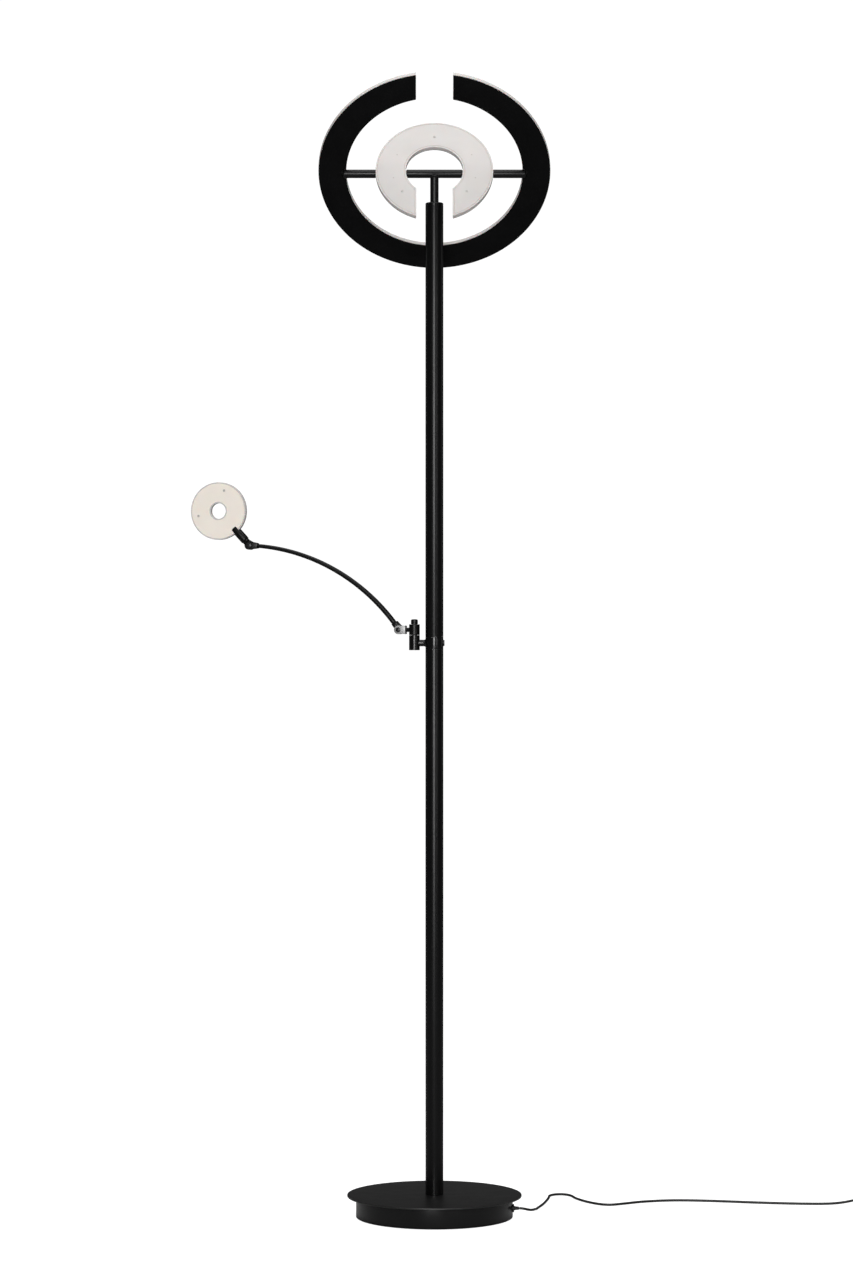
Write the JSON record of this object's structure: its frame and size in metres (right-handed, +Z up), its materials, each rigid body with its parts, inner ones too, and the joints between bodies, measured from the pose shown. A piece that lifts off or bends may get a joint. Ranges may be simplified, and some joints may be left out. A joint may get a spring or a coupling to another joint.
{
  "type": "torchiere floor lamp",
  "caption": "Floor lamp with a split-ring torchiere head, a smaller split ring inside it, a reading light on a swing arm, a round weighted base and a mains cord.",
  "frame": {"origin": "middle of the foot pad's underside, on the pole's axis", "axes": "+Z up along the pole, +X towards the side where the cord leaves the base, -Y towards the front"},
  "size_m": [1.1445, 0.3471, 1.7858],
  "materials": {
    "black_paint": "satin",
    "satin_grey": "satin",
    "steel": "satin",
    "cast_iron": "matte",
    "diffuser": "satin",
    "circuit_board": "matte",
    "black_plastic": "matte",
    "white_plastic": "matte",
    "brass": "satin",
    "rubber": "matte"
  },
  "bodies": {
    "stand": {"foot_pad": "rubber", "bottom_cover": "steel", "bottom_cover_screw_1": "steel", "bottom_cover_screw_2": "steel", "bottom_cover_screw_3": "steel", "ballast": "cast_iron", "base_drum": "black_paint", "base_top_plate": "black_paint", "led_driver": "white_plastic", "terminal_block": "white_plastic", "cord_gland": "black_plastic", "pole_nipple": "steel", "pole_nut": "steel", "pole_foot_bush": "steel", "lower_pole": "black_paint", "pole_coupler": "steel", "arm_collar": "black_paint", "collar_screw": "black_paint", "upper_pole": "black_paint", "pole_top_cap": "black_paint", "tee_stem": "black_paint", "ring_axle": "steel", "pole_cable": "black_plastic", "swivel_pin": "black_paint", "cord_tube": "rubber", "cord_coil": "rubber", "plug": "rubber"},
    "outer_ring": {"outer_ring_plate": "black_paint", "outer_ring_diffuser": "diffuser", "outer_led_board": "circuit_board", "outer_pivot_left": "black_paint", "outer_pivot_right": "black_paint", "outer_screw_1": "steel", "outer_screw_2": "steel", "outer_screw_3": "steel"},
    "inner_ring": {"inner_ring_plate": "black_paint", "inner_ring_diffuser": "diffuser", "inner_led_board": "circuit_board", "inner_bush_left": "brass", "inner_bush_right": "brass", "inner_screw_1": "steel", "inner_screw_2": "steel", "inner_screw_3": "steel"},
    "swivel": {"swivel_sleeve": "black_paint", "lower_knuckle_hub": "satin_grey", "lower_knuckle_screw": "steel"},
    "arm": {"arm_lower_knuckle": "black_paint", "arm_rod": "black_paint", "arm_upper_knuckle": "black_paint", "upper_knuckle_screw": "steel"},
    "head_joint": {"holder_neck": "black_paint"},
    "reading_head": {"holder_clamp": "black_paint", "holder_pin": "steel", "reading_back_plate": "black_paint", "reading_led_board": "circuit_board", "reading_diffuser": "diffuser", "reading_screw_1": "steel", "reading_screw_2": "steel"}
  },
  "joints": [
    {"name": "outer_ring_tilt", "type": "hinge", "parent": "stand", "child": "outer_ring", "pos_m": [0, 0, 1.6437], "axis": [1, 0, 0], "range_deg": [-33.8, 304]},
    {"name": "inner_ring_tilt", "type": "hinge", "parent": "stand", "child": "inner_ring", "pos_m": [0, 0, 1.6437], "axis": [1, 0, 0], "range_deg": [-131, 174]},
    {"name": "arm_swing", "type": "hinge", "parent": "stand", "child": "swivel", "pos_m": [-0.0315, 0, 0.925], "axis": [0, 0, 1], "range_deg": [-90, 120]},
    {"name": "arm_lift", "type": "hinge", "parent": "swivel", "child": "arm", "pos_m": [-0.05545, 0.00642, 0.925], "axis": [-0.2588, -0.9659, 0], "range_deg": [-35, 60]},
    {"name": "head_tilt", "type": "hinge", "parent": "arm", "child": "head_joint", "pos_m": [-0.29452, 0.07048, 1.05994], "axis": [-0.2588, -0.9659, 0], "range_deg": [-60, 90]},
    {"name": "head_roll", "type": "hinge", "parent": "head_joint", "child": "reading_head", "pos_m": [-0.29452, 0.07048, 1.05994], "axis": [-0.6588, 0.1765, 0.7314], "range_deg": [-90, 90]}
  ]
}
